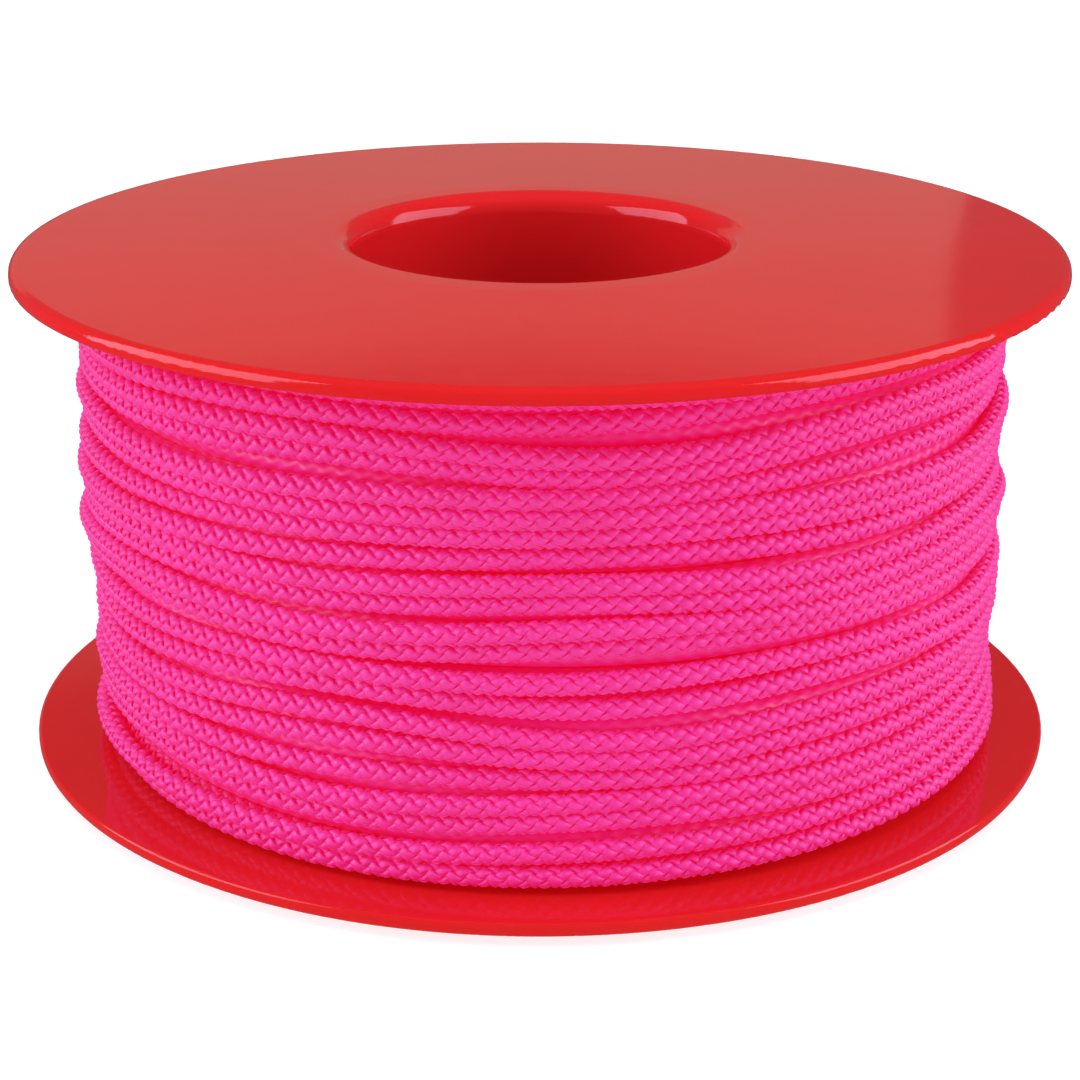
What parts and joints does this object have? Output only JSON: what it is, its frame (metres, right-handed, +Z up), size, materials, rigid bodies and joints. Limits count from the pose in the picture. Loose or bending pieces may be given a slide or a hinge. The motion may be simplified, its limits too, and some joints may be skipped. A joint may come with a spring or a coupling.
{
  "type": "line spool",
  "caption": "Round plastic spool with wide thin flanges and an open hub bore, wound full with thick braided line.",
  "frame": {"origin": "on the spool's axis, in the plane of the flat ring around the lower mouth of the bore, on which the spool stands", "axes": "+Z up along the spool's axis, from the lower flange to the upper flange"},
  "size_m": [0.09, 0.09, 0.0448],
  "materials": {
    "spool_plastic": "glossy injection-moulded red",
    "braided_line": "fluorescent pink diamond braid, soft sheen"
  },
  "bodies": {
    "root": {"lower_spool_half": "spool_plastic", "upper_spool_half": "spool_plastic", "wound_line": "braided_line"}
  },
  "joints": []
}
